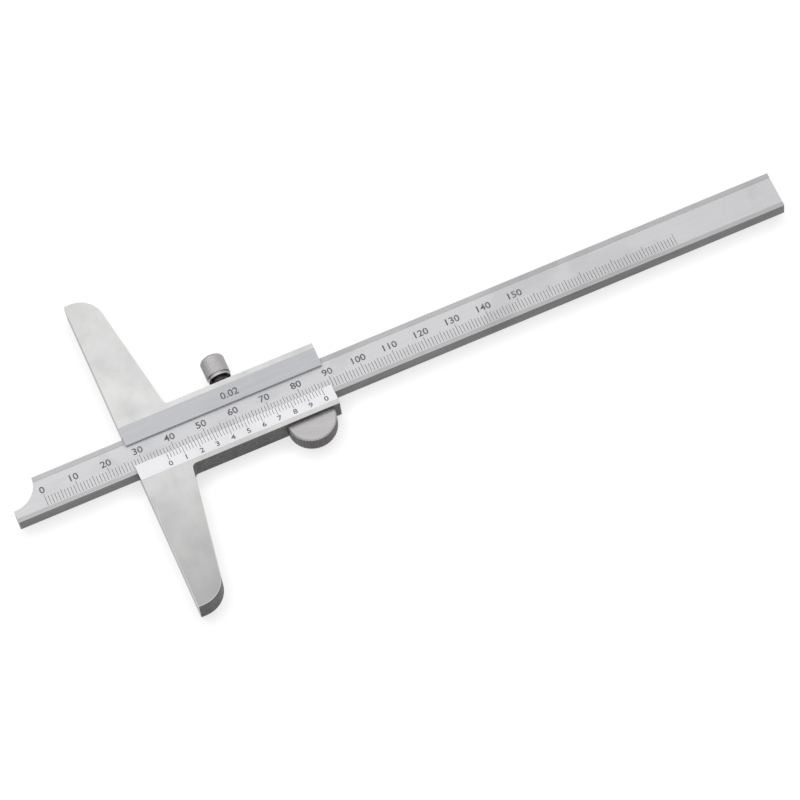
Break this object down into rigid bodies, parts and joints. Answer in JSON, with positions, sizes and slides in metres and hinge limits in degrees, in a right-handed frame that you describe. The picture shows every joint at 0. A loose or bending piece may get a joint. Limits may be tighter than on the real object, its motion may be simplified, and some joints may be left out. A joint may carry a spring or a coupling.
{
  "type": "vernier depth gauge",
  "caption": "Vernier depth gauge: a T-shaped base and slider on a graduated beam with a narrow measuring tip, knurled lock screw and half-round thumb rest.",
  "frame": {"origin": "on the surface that the gauge lies on, under the middle of its bounding box, with the scale face up", "axes": "+X along the beam from the measuring tip to the plain end, +Y towards the lock screw, +Z out of the scale face"},
  "size_m": [0.244, 0.107, 0.0076],
  "materials": {
    "ground_steel": "fine ground stainless steel, brushed along the base",
    "satin_steel": "satin chromed scale face between ground rails",
    "knurled_steel": "turned steel with a knurled grip",
    "black_steel": "blackened steel",
    "spring_steel": "rolled spring steel",
    "brass": "turned brass"
  },
  "bodies": {
    "frame": {"frame": "ground_steel", "gib_spring": "spring_steel", "gib_set_screw_front": "black_steel", "gib_set_screw_rear": "black_steel", "thumb_rest": "knurled_steel", "thumb_rest_pin_front": "ground_steel", "thumb_rest_pin_rear": "ground_steel"},
    "beam": {"beam": "satin_steel", "beam_stop_screw": "black_steel"},
    "lock_shoe": {"lock_shoe": "brass"},
    "lock_screw": {"lock_screw": "knurled_steel"}
  },
  "joints": [
    {"name": "beam_slide", "type": "slide", "parent": "frame", "child": "beam", "axis": [1, 0, 0], "range_m": [-0.1127, 0.0373]},
    {"name": "lock_travel", "type": "slide", "parent": "frame", "child": "lock_shoe", "axis": [0, 1, 0], "range_m": [-0.00004, 0.001]},
    {"name": "lock_turn", "type": "hinge", "parent": "lock_shoe", "child": "lock_screw", "pos_m": [-0.0513, 0.0155, 0.00375], "axis": [0, 1, 0], "range_deg": [-30, 720]}
  ],
  "couplings": [
    {"joint": "lock_turn", "follows": "lock_travel", "rad_per_m": 12566}
  ]
}
